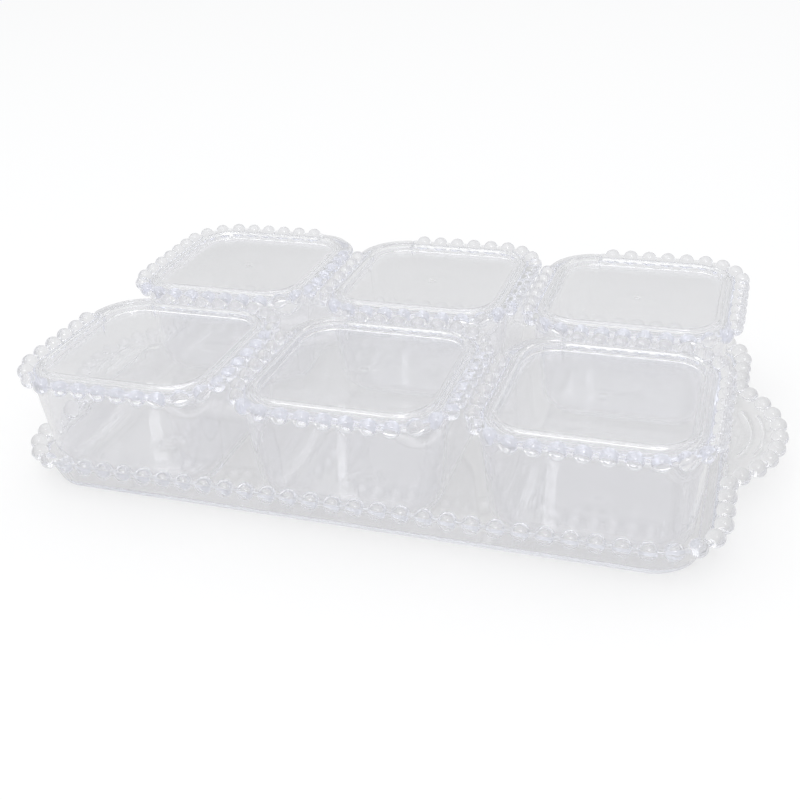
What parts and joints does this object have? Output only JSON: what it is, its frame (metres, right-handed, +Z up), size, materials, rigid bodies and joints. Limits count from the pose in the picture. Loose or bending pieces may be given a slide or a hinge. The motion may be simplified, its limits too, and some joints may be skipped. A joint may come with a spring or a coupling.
{
  "type": "divided serving tray",
  "caption": "Clear beaded serving tray with end handles that holds lift-out square boxes, each with its own lift-off lid.",
  "frame": {"origin": "middle of the tray's flat underside", "axes": "+X along the tray towards the right handle, +Y from front to back, +Z up"},
  "size_m": [0.3594, 0.207, 0.0595],
  "materials": {
    "tray_clear_plastic": "clear, polished mould",
    "box_clear_plastic": "clear, polished mould",
    "lid_clear_plastic": "clear, polished mould"
  },
  "bodies": {
    "tray": {"tray": "tray_clear_plastic"},
    "box_front_left": {"box_front_left": "box_clear_plastic"},
    "box_front_middle": {"box_front_middle": "box_clear_plastic"},
    "box_front_right": {"box_front_right": "box_clear_plastic"},
    "box_back_left": {"box_back_left": "box_clear_plastic"},
    "box_back_middle": {"box_back_middle": "box_clear_plastic"},
    "box_back_right": {"box_back_right": "box_clear_plastic"},
    "lid_front_left": {"lid_front_left": "lid_clear_plastic"},
    "lid_front_middle": {"lid_front_middle": "lid_clear_plastic"},
    "lid_front_right": {"lid_front_right": "lid_clear_plastic"},
    "lid_back_left": {"lid_back_left": "lid_clear_plastic"},
    "lid_back_middle": {"lid_back_middle": "lid_clear_plastic"},
    "lid_back_right": {"lid_back_right": "lid_clear_plastic"}
  },
  "joints": [
    {"name": "lift_box_front_left", "type": "slide", "parent": "tray", "child": "box_front_left", "axis": [0, 0, 1], "range_m": [0, 0.065]},
    {"name": "lift_box_front_middle", "type": "slide", "parent": "tray", "child": "box_front_middle", "axis": [0, 0, 1], "range_m": [0, 0.065]},
    {"name": "lift_box_front_right", "type": "slide", "parent": "tray", "child": "box_front_right", "axis": [0, 0, 1], "range_m": [0, 0.065]},
    {"name": "lift_box_back_left", "type": "slide", "parent": "tray", "child": "box_back_left", "axis": [0, 0, 1], "range_m": [0, 0.065]},
    {"name": "lift_box_back_middle", "type": "slide", "parent": "tray", "child": "box_back_middle", "axis": [0, 0, 1], "range_m": [0, 0.065]},
    {"name": "lift_box_back_right", "type": "slide", "parent": "tray", "child": "box_back_right", "axis": [0, 0, 1], "range_m": [0, 0.065]},
    {"name": "lift_lid_front_left", "type": "slide", "parent": "box_front_left", "child": "lid_front_left", "axis": [0, 0, 1], "range_m": [0, 0.03]},
    {"name": "lift_lid_front_middle", "type": "slide", "parent": "box_front_middle", "child": "lid_front_middle", "axis": [0, 0, 1], "range_m": [0, 0.03]},
    {"name": "lift_lid_front_right", "type": "slide", "parent": "box_front_right", "child": "lid_front_right", "axis": [0, 0, 1], "range_m": [0, 0.03]},
    {"name": "lift_lid_back_left", "type": "slide", "parent": "box_back_left", "child": "lid_back_left", "axis": [0, 0, 1], "range_m": [0, 0.03]},
    {"name": "lift_lid_back_middle", "type": "slide", "parent": "box_back_middle", "child": "lid_back_middle", "axis": [0, 0, 1], "range_m": [0, 0.03]},
    {"name": "lift_lid_back_right", "type": "slide", "parent": "box_back_right", "child": "lid_back_right", "axis": [0, 0, 1], "range_m": [0, 0.03]}
  ]
}
